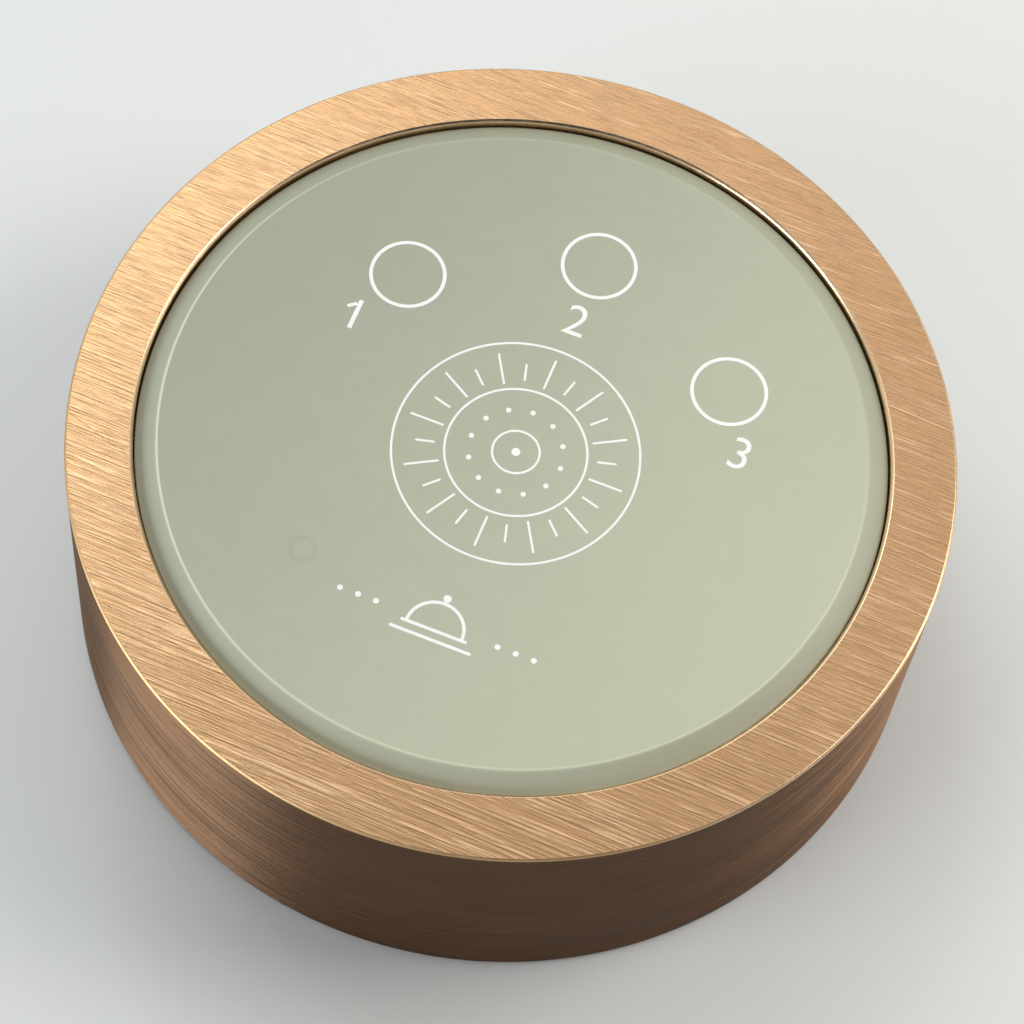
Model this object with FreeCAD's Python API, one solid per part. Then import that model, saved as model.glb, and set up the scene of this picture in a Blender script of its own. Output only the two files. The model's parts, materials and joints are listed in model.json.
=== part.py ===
import FreeCAD, Part
import math
import os

# Table-top touch call button: a turned brass ring that holds a moulded touch panel,
# closed from below by a base plate with a bayonet battery cover.
# Millimetres. +Z is up, the origin is the centre of the foot's ground face,
# and +X runs along the lines of print and the brushing of the ring's top face.

# Outside
OUTER_R = 45.0
TOP_Z = 29.6
RING_BOTTOM_Z = 0.6
OPENING_R = 38.2
BORE_R = 39.6
LIP_DEPTH = 2.7
OUTER_CHAMFER = 0.45
INNER_CHAMFER = 0.35
BOTTOM_CHAMFER = 0.3
FIT_GAP = 0.3

# How far a piece of one moulding runs into its neighbour, so that the two fuse
OVERLAP = 0.2
ROOT = 0.5

# Touch panel
PANEL_TOP_Z = 30.0
PANEL_R = 38.05
PLATEAU_R = 35.8
PANEL_EDGE_Z = 28.64
CREASE_ROUND = 0.8
EDGE_CHAMFER = 0.15
FLANGE_R = 39.3
FLANGE_TOP_Z = 26.5
FLANGE_BOTTOM_Z = 25.0
SKIRT_INNER_R = 36.6
PANEL_UNDER_Z = 27.6
KEY_WIDTH = 4.0
KEY_DEPTH = 0.9
KEY_PLAY = 0.1

# Marks that are lit from below: a centre dial and three options round it
DIAL_X = 0.65
DIAL_Y = -1.3
OPTION_REACH = (23.1, 23.6, 23.1)
OPTION_ANGLES = (140.0, 90.0, 40.5)

# Boards
BOND_T = 0.15
PAD_T = 0.1
TOUCH_BOARD_R = 36.2
TOUCH_BOARD_T = 1.0
MAIN_BOARD_R = 36.6
MAIN_BOARD_Z = 19.2
MAIN_BOARD_T = 1.2
DIAL_PAD_R = 13.2
OPTION_PAD_R = 5.0
DIAL_LIGHTS = 4
DIAL_LIGHT_REACH = 9.9
DIAL_LIGHT_R = 0.8
OPTION_LIGHT_R = 1.2
GUARD_IN_R = 34.4
GUARD_OUT_R = 35.6
TOUCH_CHIP_SPOT = (-18.0, -16.0)
TOUCH_CHIP_SIZE = (4.0, 4.0, 0.8)

# Parts on the main board: the place of the middle, then length, width and height
LED_SIZE = (3.2, 2.8, 1.4)
CONTROLLER_SPOT = (-20.0, -2.0)
CONTROLLER_SIZE = (7.0, 7.0, 1.0)
CRYSTAL_SPOT = (-20.0, -8.5)
CRYSTAL_SIZE = (3.2, 2.5, 0.8)
CONVERTER_SPOT = (20.0, 4.0)
CONVERTER_SIZE = (3.0, 1.7, 1.1)
CAPACITOR_SPOT = (20.0, -5.0)
CAPACITOR_PITCH = 4.5
CAPACITOR_COUNT = 3
CAPACITOR_SIZE = (3.5, 2.8, 1.9)

# Radio module
RADIO_Y = -25.0
RADIO_BOARD_SIZE = (14.0, 12.0, 0.8)
SHIELD_Y = -23.5
SHIELD_SIZE = (12.0, 8.0, 1.8)
SHIELD_WALL = 0.25
ANTENNA_Y = -29.5
ANTENNA_SIZE = (5.0, 2.0, 1.0)

# Light baffle
BAFFLE_OUT_R = 35.7
BAFFLE_WALL = 1.2
WELL_WALL = 1.0
DIAL_WELL_R = 14.0
OPTION_WELL_R = 5.2
STRUT_WIDTH = 1.0
STRUT_DEPTH = 1.5
STRUT_ANGLES = (0.0, 165.0, 240.0, 300.0)

# Chassis
CHASSIS_R = 39.3
CHASSIS_WALL = 1.5
ROOF_Z = 16.2
ROOF_T = 1.5
BAY_HALF_L = 25.0
BAY_HALF_W = 11.3
BAY_WALL = 1.5
BAY_BOTTOM_Z = 5.4
DIVIDER_Z = 12.2
DIVIDER_T = 0.8
DIVIDER_END_GAP = 1.5
RIB_T = 1.2
RIB_X = 14.0
RIB_BOTTOM_Z = 7.0
BOSS_R = 2.6
BOSS_BOTTOM_Z = 13.0
BOSS_FLOOR = 0.8

# Cells, size AAA, lying side by side and head to tail
CELL_R = 5.25
CELL_L = 43.5
CELL_EDGE = 0.4
NUB_R = 1.9
NUB_L = 1.0
CELL_Y = 5.6
CELL_Z = 10.6
CONTACT_T = 0.4
CONTACT_WIDTH = 7.0
CONTACT_BOTTOM_Z = 6.4
DIMPLE_DEPTH = 0.5
DIMPLE_ROOT_R = 2.2
DIMPLE_TIP_R = 1.4
TAB_WIDTH = 2.0
TAB_ROOT = 1.0
TAB_TOP_Z = 21.0
LEAF_T = 0.35
LEAF_WIDTH = 4.0
LEAF_HALF_H = 4.1

# Base plate
PLATE_R = 43.7
RIM_R = 43.9
PLATE_BOTTOM_Z = 0.8
PLATE_TOP_Z = 3.6
PLATE_EDGE = 0.3
COVER_OPENING_R = 28.0
COVER_SEAT_R = 30.5
LEDGE_UNDER_Z = 2.3
FOOT_IN_R = 35.6
FOOT_OUT_R = 39.0
FOOT_TOP_Z = 1.5
FOOT_CHAMFER = 0.3

# Battery cover
COVER_R = 30.2
COVER_TOP_Z = 2.0
SPIGOT_R = 27.6
SPIGOT_WALL = 2.0
SPIGOT_TOP_Z = 5.0
LUG_R = 29.6
LUG_BOTTOM_Z = 3.85
LUG_ANGLE = 24.0
LUG_COUNT = 3
LUG_START = 90.0
COVER_TURN = 30.0
NOTCH_ANGLE = 28.0
NOTCH_R = 29.9
STOP_ANGLE = 4.0
STOP_PLAY = 0.6
SEAL_IN_R = 26.9
SEAL_OUT_R = 27.8
SEAL_BOTTOM_Z = 2.5
SEAL_TOP_Z = 3.4
SLOT_FLOOR_R = 24.0
COIN_SLOT_W = 2.2
COIN_SLOT_DEPTH = 1.4
COIN_BOSS_MARGIN = 1.5
COIN_BOSS_H = 1.2
COVER_RIB_START = 17.0
COVER_RIB_H = 0.8
COVER_RIB_COUNT = 4
CELL_PAD_SIZE = (26.0, 6.0)
CELL_PAD_Y = 6.5

# Screws: four hold the main board, four more hold the base plate
SCREW_COUNT = 4
SCREW_START = 45.0
SCREW_R = 1.0
SCREW_PLAY = 0.02
SCREW_CLEAR = 0.15
BOARD_SCREW_REACH = 31.5
BOARD_SCREW_L = 5.0
BOARD_HEAD_R = 1.9
BOARD_HEAD_T = 1.4
BASE_SCREW_REACH = 41.4
BASE_SCREW_L = 6.0
BASE_HEAD_R = 1.7
BASE_HEAD_T = 1.1
BASE_SINK_R = 1.85
BASE_SINK_Z = 2.0
TAP_SPARE = 0.5
DRILL_HALF_ANGLE = 59.0

# Controls beside the battery cover
CONTROL_Y = 32.8
CONTROL_FLOAT_Z = 3.9
CONTROL_FACE_Z = 1.3

# Power slider with the switch that it works
SLIDER_X = -5.5
SLIDER_TRAVEL = 2.0
SLIDER_FLAT = (8.0, 3.8, 1.0)
SLIDER_COLLAR_W = 2.8
SLIDER_COLLAR_TOP_Z = 6.0
SLIDER_NUB = (2.4, 2.2)
GROOVE_PITCH = 0.7
GROOVE_W = 0.3
SLIDER_RECESS = (7.6, 3.8, 1.0)
RAIL_L = 9.0
RAIL_T = 0.8
RAIL_PLAY = 0.2
RAIL_TOP_Z = 4.6
LEVER_W = 1.2
LEVER_BOTTOM_Z = 4.3
LEVER_TOP_Z = 8.0
SWITCH_CASE = (8.6, 3.4)
SWITCH_CASE_Z = 6.4
SWITCH_CAVITY_Z = 8.4

# Pairing button with the switch that it works
BUTTON_X = 5.0
BUTTON_R = 1.7
BUTTON_EDGE = 0.3
BUTTON_FLANGE_R = 2.6
BUTTON_FLANGE_T = 0.8
BUTTON_STEM_R = 1.2
BUTTON_RECESS_R = 2.4
BUTTON_RECESS_DEPTH = 0.5
TACT_R = 0.9
TACT_BOTTOM_Z = 7.2
TACT_TOP_Z = 8.6
TACT_PLAY = 0.1
TACT_CASE = (5.0, 3.4)
TACT_CASE_Z = 8.0
TACT_CAVITY_Z = 9.4

# Switch board on two pegs, and the pin header that links it to the main board
SWITCH_BOARD_Z = 10.0
SWITCH_BOARD_T = 1.0
SWITCH_BOARD_HALF_L = 11.0
SWITCH_BOARD_FRONT_Y = 29.0
SWITCH_BOARD_BACK_Y = 35.4
PEG_R = 0.9
PEG_COLLAR_R = 2.0
PEG_X = 9.6
LINK_Y = 30.2
LINK_COUNT = 5
LINK_STRIP = 2.0
LINK_OPENING = (11.0, 2.4)
PIN_PITCH = 2.0
PIN_W = 0.6
PIN_HOLE_W = 0.8
PIN_STUB = 0.4
PIN_STAND = 0.5

# Board-to-board connector
PLUG_X = -31.0
PLUG_Y = -3.0
PLUG_COUNT = 6
PLUG_W = 2.6
PLUG_L = 13.0
PLUG_PIN_Z = 21.6
PLUG_PIN_SINK = 0.1
PLUG_GAP = 0.2
SOCKET_FLOOR = 0.8
SOCKET_TOP_Z = 24.6

TOUCH_BOARD_Z = PANEL_UNDER_Z - BOND_T - PAD_T - TOUCH_BOARD_T
PAD_Z = TOUCH_BOARD_Z + TOUCH_BOARD_T
MAIN_TOP_Z = MAIN_BOARD_Z + MAIN_BOARD_T
RADIO_TOP_Z = MAIN_TOP_Z + RADIO_BOARD_SIZE[2]
SWITCH_TOP_Z = SWITCH_BOARD_Z + SWITCH_BOARD_T
LIP_Z = TOP_Z - LIP_DEPTH
CHASSIS_IN_R = CHASSIS_R - CHASSIS_WALL
SPIGOT_IN_R = SPIGOT_R - SPIGOT_WALL
SLOT_X = SLIDER_X + SLIDER_TRAVEL / 2


def point(x, y, z):
    return FreeCAD.Vector(x, y, z)


UP = point(0, 0, 1)
ORIGIN = point(0, 0, 0)


def disc(r, z0, z1, x=0.0, y=0.0):
    return Part.makeCylinder(r, z1 - z0, point(x, y, z0))


def tube(r_in, r_out, z0, z1, x=0.0, y=0.0):
    return disc(r_out, z0, z1, x, y).cut(disc(r_in, z0, z1, x, y))


def block(x, y, z0, size_x, size_y, z1):
    """A box centred on x, y and reaching from z0 to z1."""
    corner = point(x - size_x / 2, y - size_y / 2, z0)
    return Part.makeBox(size_x, size_y, z1 - z0, corner)


def standing(spot, size, z):
    """A box of a length, width and height, centred on spot and standing on z."""
    length, width, height = size
    return block(*spot, z, length, width, z + height)


def slot(x, y, z0, length, width, z1):
    """A round-ended block along X."""
    reach = (length - width) / 2
    ends = [disc(width / 2, z0, z1, x + side * reach, y) for side in (-1, 1)]
    return block(x, y, z0, 2 * reach, width, z1).multiFuse(ends)


def turned(profile):
    """The solid swept round Z by an outline of (radius, height) points."""
    points = [point(r, 0, z) for r, z in profile]
    face = Part.Face(Part.makePolygon(points + points[:1]))
    return face.revolve(ORIGIN, UP, 360)


def sector(r_in, r_out, z0, z1, middle, spread):
    """A piece of a ring, spread degrees wide about the angle middle."""
    wedge = Part.makeCylinder(r_out, z1 - z0, point(0, 0, z0), UP, spread)
    wedge.rotate(ORIGIN, UP, middle - spread / 2)
    return wedge.cut(disc(r_in, z0, z1))


def turned_copy(shape, degrees):
    copy = shape.copy()
    copy.rotate(ORIGIN, UP, degrees)
    return copy


def around(shape, count, start=0.0):
    """Copies of a shape, evenly spaced round Z."""
    return [turned_copy(shape, start + 360.0 * i / count) for i in range(count)]


def polar(reach, degrees, x=0.0, y=0.0):
    angle = math.radians(degrees)
    return x + reach * math.cos(angle), y + reach * math.sin(angle)


def is_ring(edge, r, z):
    if not isinstance(edge.Curve, Part.Circle):
        return False
    return math.isclose(edge.Curve.Radius, r) and math.isclose(edge.Curve.Center.z, z)


def screw(x, y, seat_z, head_r, head_t, length, way):
    """A screw whose head rests on seat_z, with its point up (way 1) or down (way -1)."""
    axis = point(0, 0, way)
    head = Part.makeCylinder(head_r, head_t, point(x, y, seat_z - way * head_t), axis)
    shank = Part.makeCylinder(SCREW_R, length, point(x, y, seat_z), axis)
    return head.fuse(shank)


def option_spots():
    pairs = zip(OPTION_REACH, OPTION_ANGLES)
    return [polar(reach, angle, DIAL_X, DIAL_Y) for reach, angle in pairs]


def dial_light_spots():
    step = 360.0 / DIAL_LIGHTS
    return [polar(DIAL_LIGHT_REACH, step * (i + 0.5), DIAL_X, DIAL_Y) for i in range(DIAL_LIGHTS)]


def screw_spots(reach):
    step = 360.0 / SCREW_COUNT
    return [polar(reach, SCREW_START + step * i) for i in range(SCREW_COUNT)]


def link_spots():
    half = (LINK_COUNT - 1) / 2
    return [((i - half) * PIN_PITCH, LINK_Y) for i in range(LINK_COUNT)]


def plug_spots():
    half = (PLUG_COUNT - 1) / 2
    return [(PLUG_X, PLUG_Y + (i - half) * PIN_PITCH) for i in range(PLUG_COUNT)]


def drilled(shape, spots, r, z0, z1):
    return shape.cut([disc(r, z0, z1, x, y) for x, y in spots])


def pin_holes(shape, spots, z0, z1):
    return shape.cut([block(x, y, z0, PIN_HOLE_W, PIN_HOLE_W, z1) for x, y in spots])


def pins_through(strip, spots, z0, z1):
    """A strip with square pins standing through it, each its own solid."""
    pins = [block(x, y, z0, PIN_W, PIN_W, z1) for x, y in spots]
    return [strip.cut(pins)] + pins


# Brass ring: lip, straight bore, seat for the base plate and four blind tapped holes
def housing_ring():
    body = turned([
        (RIM_R, RING_BOTTOM_Z),
        (OUTER_R - BOTTOM_CHAMFER, RING_BOTTOM_Z),
        (OUTER_R, RING_BOTTOM_Z + BOTTOM_CHAMFER),
        (OUTER_R, TOP_Z - OUTER_CHAMFER),
        (OUTER_R - OUTER_CHAMFER, TOP_Z),
        (OPENING_R + INNER_CHAMFER, TOP_Z),
        (OPENING_R, TOP_Z - INNER_CHAMFER),
        (OPENING_R, LIP_Z),
        (BORE_R, LIP_Z),
        (BORE_R, PLATE_TOP_Z),
        (RIM_R, PLATE_TOP_Z),
    ])
    hole_r = SCREW_R + SCREW_PLAY
    tip_h = hole_r / math.tan(math.radians(DRILL_HALF_ANGLE))
    straight_end = BASE_SINK_Z + BASE_SCREW_L + TAP_SPARE
    for x, y in screw_spots(BASE_SCREW_REACH):
        tip = Part.makeCone(hole_r, 0, tip_h, point(x, y, straight_end))
        body = body.cut(disc(hole_r, PLATE_TOP_Z, straight_end, x, y).fuse(tip))
    return body


# Touch panel: a plateau with a soft bevel, a trapped flange with two key notches,
# and a skirt round the touch board
def touch_panel():
    body = turned([
        (0, PANEL_UNDER_Z),
        (SKIRT_INNER_R, PANEL_UNDER_Z),
        (SKIRT_INNER_R, FLANGE_BOTTOM_Z),
        (FLANGE_R, FLANGE_BOTTOM_Z),
        (FLANGE_R, FLANGE_TOP_Z),
        (PANEL_R, FLANGE_TOP_Z),
        (PANEL_R, PANEL_EDGE_Z - EDGE_CHAMFER),
        (PANEL_R - EDGE_CHAMFER, PANEL_EDGE_Z + EDGE_CHAMFER / 2),
        (PLATEAU_R, PANEL_TOP_Z),
        (0, PANEL_TOP_Z),
    ])
    crease = [edge for edge in body.Edges if is_ring(edge, PLATEAU_R, PANEL_TOP_Z)]
    body = body.makeFillet(CREASE_ROUND, crease)
    notch_x = FLANGE_R - KEY_DEPTH / 2
    notch = block(notch_x, 0, FLANGE_BOTTOM_Z, KEY_DEPTH, KEY_WIDTH, FLANGE_TOP_Z)
    return body.cut(around(notch, 2))


def panel_gasket():
    return tube(OPENING_R + INNER_CHAMFER, FLANGE_R, FLANGE_TOP_Z, LIP_Z)


def bonding_sheet():
    return disc(TOUCH_BOARD_R, PANEL_UNDER_Z - BOND_T, PANEL_UNDER_Z)


# Copper pads on the touch board, each pierced where light shines through
def touch_pads():
    top = PAD_Z + PAD_T
    dial = disc(DIAL_PAD_R, PAD_Z, top, DIAL_X, DIAL_Y)
    pads = [drilled(dial, dial_light_spots(), DIAL_LIGHT_R, PAD_Z, top)]
    for x, y in option_spots():
        pads.append(tube(OPTION_LIGHT_R, OPTION_PAD_R, PAD_Z, top, x, y))
    pads.append(tube(GUARD_IN_R, GUARD_OUT_R, PAD_Z, top))
    return pads


def touch_board():
    body = disc(TOUCH_BOARD_R, TOUCH_BOARD_Z, PAD_Z)
    body = drilled(body, dial_light_spots(), DIAL_LIGHT_R, TOUCH_BOARD_Z, PAD_Z)
    body = drilled(body, option_spots(), OPTION_LIGHT_R, TOUCH_BOARD_Z, PAD_Z)
    return pin_holes(body, plug_spots(), TOUCH_BOARD_Z, PAD_Z)


def touch_chip():
    return standing(TOUCH_CHIP_SPOT, TOUCH_CHIP_SIZE, TOUCH_BOARD_Z - TOUCH_CHIP_SIZE[2])


# Baffle: a well under each mark, tied to the outer wall by struts at its top
def light_baffle():
    wall_in_r = BAFFLE_OUT_R - BAFFLE_WALL
    outer = tube(wall_in_r, BAFFLE_OUT_R, MAIN_TOP_Z, TOUCH_BOARD_Z)
    strut_z = TOUCH_BOARD_Z - STRUT_DEPTH
    solids = [disc(DIAL_WELL_R + WELL_WALL, MAIN_TOP_Z, TOUCH_BOARD_Z, DIAL_X, DIAL_Y)]
    hollows = [disc(DIAL_WELL_R, MAIN_TOP_Z, TOUCH_BOARD_Z, DIAL_X, DIAL_Y)]
    for x, y in option_spots():
        solids.append(disc(OPTION_WELL_R + WELL_WALL, MAIN_TOP_Z, TOUCH_BOARD_Z, x, y))
        hollows.append(disc(OPTION_WELL_R, MAIN_TOP_Z, TOUCH_BOARD_Z, x, y))
    runs = [(angle, OUTER_R) for angle in STRUT_ANGLES] + list(zip(OPTION_ANGLES, OPTION_REACH))
    for angle, reach in runs:
        strut = Part.makeBox(reach, STRUT_WIDTH, STRUT_DEPTH, point(0, -STRUT_WIDTH / 2, strut_z))
        strut.rotate(ORIGIN, UP, angle)
        strut.translate(point(DIAL_X, DIAL_Y, 0))
        solids.append(strut.common(disc(wall_in_r + OVERLAP, strut_z, TOUCH_BOARD_Z)))
    return outer.multiFuse(solids).cut(hollows).removeSplitter()


def status_leds():
    return [standing(spot, LED_SIZE, MAIN_TOP_Z) for spot in option_spots() + dial_light_spots()]


def tab_slots(z0, z1):
    """The four slots that the contact tabs pass through."""
    play = 2 * SCREW_CLEAR
    x = BAY_HALF_L - CONTACT_T / 2
    return [
        block(side * x, row * CELL_Y, z0, CONTACT_T + play, TAB_WIDTH + play, z1)
        for side in (-1, 1)
        for row in (-1, 1)
    ]


def main_board():
    body = disc(MAIN_BOARD_R, MAIN_BOARD_Z, MAIN_TOP_Z)
    hole_r = SCREW_R + SCREW_CLEAR
    body = drilled(body, screw_spots(BOARD_SCREW_REACH), hole_r, MAIN_BOARD_Z, MAIN_TOP_Z)
    body = pin_holes(body, link_spots(), MAIN_BOARD_Z, MAIN_TOP_Z)
    return body.cut(tab_slots(MAIN_BOARD_Z, MAIN_TOP_Z))


def board_screws():
    return [
        screw(x, y, MAIN_TOP_Z, BOARD_HEAD_R, BOARD_HEAD_T, BOARD_SCREW_L, -1)
        for x, y in screw_spots(BOARD_SCREW_REACH)
    ]


def controller_chip():
    return standing(CONTROLLER_SPOT, CONTROLLER_SIZE, MAIN_TOP_Z)


def crystal():
    return standing(CRYSTAL_SPOT, CRYSTAL_SIZE, MAIN_TOP_Z)


def boost_converter():
    return standing(CONVERTER_SPOT, CONVERTER_SIZE, MAIN_TOP_Z)


def supply_capacitors():
    x, y = CAPACITOR_SPOT
    return [
        standing((x, y - CAPACITOR_PITCH * i), CAPACITOR_SIZE, MAIN_TOP_Z)
        for i in range(CAPACITOR_COUNT)
    ]


def radio_board():
    return standing((0, RADIO_Y), RADIO_BOARD_SIZE, MAIN_TOP_Z)


def radio_shield():
    length, width, height = SHIELD_SIZE
    outer = standing((0, SHIELD_Y), SHIELD_SIZE, RADIO_TOP_Z)
    inner_size = (length - 2 * SHIELD_WALL, width - 2 * SHIELD_WALL, height - SHIELD_WALL)
    return outer.cut(standing((0, SHIELD_Y), inner_size, RADIO_TOP_Z))


def chip_antenna():
    return standing((0, ANTENNA_Y), ANTENNA_SIZE, RADIO_TOP_Z)


def board_socket():
    body = block(PLUG_X, PLUG_Y, MAIN_TOP_Z, PLUG_W, PLUG_L, SOCKET_TOP_Z)
    return pin_holes(body, plug_spots(), MAIN_TOP_Z + SOCKET_FLOOR, SOCKET_TOP_Z)


def board_header():
    strip = block(PLUG_X, PLUG_Y, SOCKET_TOP_Z + PLUG_GAP, PLUG_W, PLUG_L, TOUCH_BOARD_Z)
    return pins_through(strip, plug_spots(), PLUG_PIN_Z, PAD_Z - PLUG_PIN_SINK)


def chassis_ribs():
    """One rib off each end of the cell bay and two off each long side, out to the skirt."""
    ribs = []
    end_run = CHASSIS_IN_R + OVERLAP - BAY_HALF_L
    for side in (-1, 1):
        end_x = side * (BAY_HALF_L + end_run / 2)
        ribs.append(block(end_x, 0, RIB_BOTTOM_Z, end_run, RIB_T, ROOF_Z))
        for x in (-RIB_X, RIB_X):
            run = math.sqrt(CHASSIS_IN_R ** 2 - x ** 2) + OVERLAP - BAY_HALF_W
            side_y = side * (BAY_HALF_W + run / 2)
            ribs.append(block(x, side_y, RIB_BOTTOM_Z, RIB_T, run, ROOF_Z))
    return ribs


def chassis_posts():
    """Board bosses, and the collared pegs that carry the switch board."""
    bosses = [
        disc(BOSS_R, BOSS_BOTTOM_Z, MAIN_BOARD_Z, x, y)
        for x, y in screw_spots(BOARD_SCREW_REACH)
    ]
    collars = [disc(PEG_COLLAR_R, SWITCH_TOP_Z, ROOF_Z, x, LINK_Y) for x in (-PEG_X, PEG_X)]
    pegs = [disc(PEG_R, SWITCH_BOARD_Z - PIN_STUB, ROOF_Z, x, LINK_Y) for x in (-PEG_X, PEG_X)]
    return bosses + collars + pegs


# Chassis: outer skirt, roof, cell bay, ribs, posts, keys for the panel's notches
def chassis():
    skirt = tube(CHASSIS_IN_R, CHASSIS_R, PLATE_TOP_Z, FLANGE_BOTTOM_Z)
    roof = disc(CHASSIS_IN_R + OVERLAP, ROOF_Z, ROOF_Z + ROOF_T)
    bay_l = 2 * (BAY_HALF_L + BAY_WALL)
    bay_w = 2 * (BAY_HALF_W + BAY_WALL)
    bay = block(0, 0, BAY_BOTTOM_Z, bay_l, bay_w, ROOF_Z)
    key_w = KEY_WIDTH - 2 * KEY_PLAY
    key_x = CHASSIS_R - KEY_DEPTH / 2
    key = block(key_x, 0, ROOF_Z, KEY_DEPTH - KEY_PLAY, key_w, FLANGE_TOP_Z - KEY_PLAY)
    body = skirt.multiFuse([roof, bay] + chassis_ribs() + chassis_posts() + around(key, 2))
    body = body.cut(block(0, 0, BAY_BOTTOM_Z, 2 * BAY_HALF_L, 2 * BAY_HALF_W, ROOF_Z))
    divider_l = 2 * (BAY_HALF_L - DIVIDER_END_GAP)
    body = body.fuse(block(0, 0, DIVIDER_Z, divider_l, DIVIDER_T, ROOF_Z + OVERLAP))
    holes = screw_spots(BOARD_SCREW_REACH)
    body = drilled(body, holes, SCREW_R + SCREW_PLAY, BOSS_BOTTOM_Z + BOSS_FLOOR, MAIN_BOARD_Z)
    link = block(0, LINK_Y, ROOF_Z, *LINK_OPENING, ROOF_Z + ROOF_T)
    return body.cut(tab_slots(ROOF_Z, ROOF_Z + ROOF_T) + [link]).removeSplitter()


def contact_plate(side):
    """A plate against the bay's end wall, with a tab up through the main board."""
    x = side * (BAY_HALF_L - CONTACT_T / 2)
    plate = block(x, CELL_Y, CONTACT_BOTTOM_Z, CONTACT_T, CONTACT_WIDTH, ROOF_Z)
    tab = block(x, CELL_Y, ROOF_Z - TAB_ROOT, CONTACT_T, TAB_WIDTH, TAB_TOP_Z)
    return plate.fuse(tab)


def positive_contacts():
    root = point(BAY_HALF_L - CONTACT_T, CELL_Y, CELL_Z)
    dimple = Part.makeCone(DIMPLE_ROOT_R, DIMPLE_TIP_R, DIMPLE_DEPTH, root, point(-1, 0, 0))
    return around(contact_plate(1).fuse(dimple).removeSplitter(), 2)


# The leaf is a bowed strip that pushes on the flat end of its cell
def negative_contacts():
    root_x = CONTACT_T - BAY_HALF_L
    crown_x = BAY_HALF_L - CONTACT_T - DIMPLE_DEPTH - NUB_L - CELL_L
    y = CELL_Y - LEAF_WIDTH / 2

    def bow(thickness):
        low = point(root_x, y, CELL_Z - LEAF_HALF_H + thickness)
        crown = point(crown_x - thickness, y, CELL_Z)
        high = point(root_x, y, CELL_Z + LEAF_HALF_H - thickness)
        return Part.Face(Part.Wire([Part.Arc(low, crown, high).toShape(), Part.makeLine(high, low)]))

    along = point(0, LEAF_WIDTH, 0)
    leaf = bow(0).extrude(along).cut(bow(LEAF_T).extrude(along))
    return around(contact_plate(-1).fuse(leaf).removeSplitter(), 2)


def battery_cells():
    nub_x = BAY_HALF_L - CONTACT_T - DIMPLE_DEPTH - NUB_L
    along = point(1, 0, 0)
    case = Part.makeCylinder(CELL_R, CELL_L, point(nub_x - CELL_L, CELL_Y, CELL_Z), along)
    rims = [edge for edge in case.Edges if isinstance(edge.Curve, Part.Circle)]
    case = case.makeChamfer(CELL_EDGE, rims)
    nub = Part.makeCylinder(NUB_R, NUB_L, point(nub_x, CELL_Y, CELL_Z), along)
    return around(case.fuse(nub), 2)


def switch_board():
    middle_y = (SWITCH_BOARD_FRONT_Y + SWITCH_BOARD_BACK_Y) / 2
    width = SWITCH_BOARD_BACK_Y - SWITCH_BOARD_FRONT_Y
    body = block(0, middle_y, SWITCH_BOARD_Z, 2 * SWITCH_BOARD_HALF_L, width, SWITCH_TOP_Z)
    pegs = [(-PEG_X, LINK_Y), (PEG_X, LINK_Y)]
    body = drilled(body, pegs, PEG_R + KEY_PLAY, SWITCH_BOARD_Z, SWITCH_TOP_Z)
    return pin_holes(body, link_spots(), SWITCH_BOARD_Z, SWITCH_TOP_Z)


def switch_header():
    length = LINK_COUNT * PIN_PITCH
    strip = standing((0, LINK_Y), (length, LINK_STRIP, LINK_STRIP), SWITCH_TOP_Z)
    return pins_through(strip, link_spots(), SWITCH_BOARD_Z - PIN_STUB, MAIN_TOP_Z + PIN_STAND)


def power_switch():
    body = block(SLOT_X, CONTROL_Y, SWITCH_CASE_Z, *SWITCH_CASE, SWITCH_BOARD_Z)
    length = LEVER_W + SLIDER_TRAVEL + 2 * FIT_GAP
    width = LEVER_W + 2 * FIT_GAP
    return body.cut(block(SLOT_X, CONTROL_Y, SWITCH_CASE_Z, length, width, SWITCH_CAVITY_Z))


def switch_lever():
    return block(SLIDER_X, CONTROL_Y, LEVER_BOTTOM_Z, LEVER_W, LEVER_W, LEVER_TOP_Z)


# Slider cap: a flat that runs between two rails, a grooved nub that shows below
def power_slider():
    collar_w = SLIDER_COLLAR_W
    nub_w = SLIDER_NUB[1]
    groove_top = CONTROL_FACE_Z + GROOVE_W
    flat = standing((SLIDER_X, CONTROL_Y), SLIDER_FLAT, CONTROL_FLOAT_Z)
    collar = block(SLIDER_X, CONTROL_Y, CONTROL_FLOAT_Z, collar_w, collar_w, SLIDER_COLLAR_TOP_Z)
    nub = block(SLIDER_X, CONTROL_Y, CONTROL_FACE_Z, *SLIDER_NUB, CONTROL_FLOAT_Z)
    grooves = [
        block(SLIDER_X + i * GROOVE_PITCH, CONTROL_Y, CONTROL_FACE_Z, GROOVE_W, nub_w, groove_top)
        for i in (-1, 0, 1)
    ]
    return flat.multiFuse([collar, nub]).cut([switch_lever()] + grooves).removeSplitter()


def pairing_switch():
    body = block(BUTTON_X, CONTROL_Y, TACT_CASE_Z, *TACT_CASE, SWITCH_BOARD_Z)
    return body.cut(disc(TACT_R + TACT_PLAY, TACT_CASE_Z, TACT_CAVITY_Z, BUTTON_X, CONTROL_Y))


def tact_plunger():
    return disc(TACT_R, TACT_BOTTOM_Z, TACT_TOP_Z, BUTTON_X, CONTROL_Y)


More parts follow.
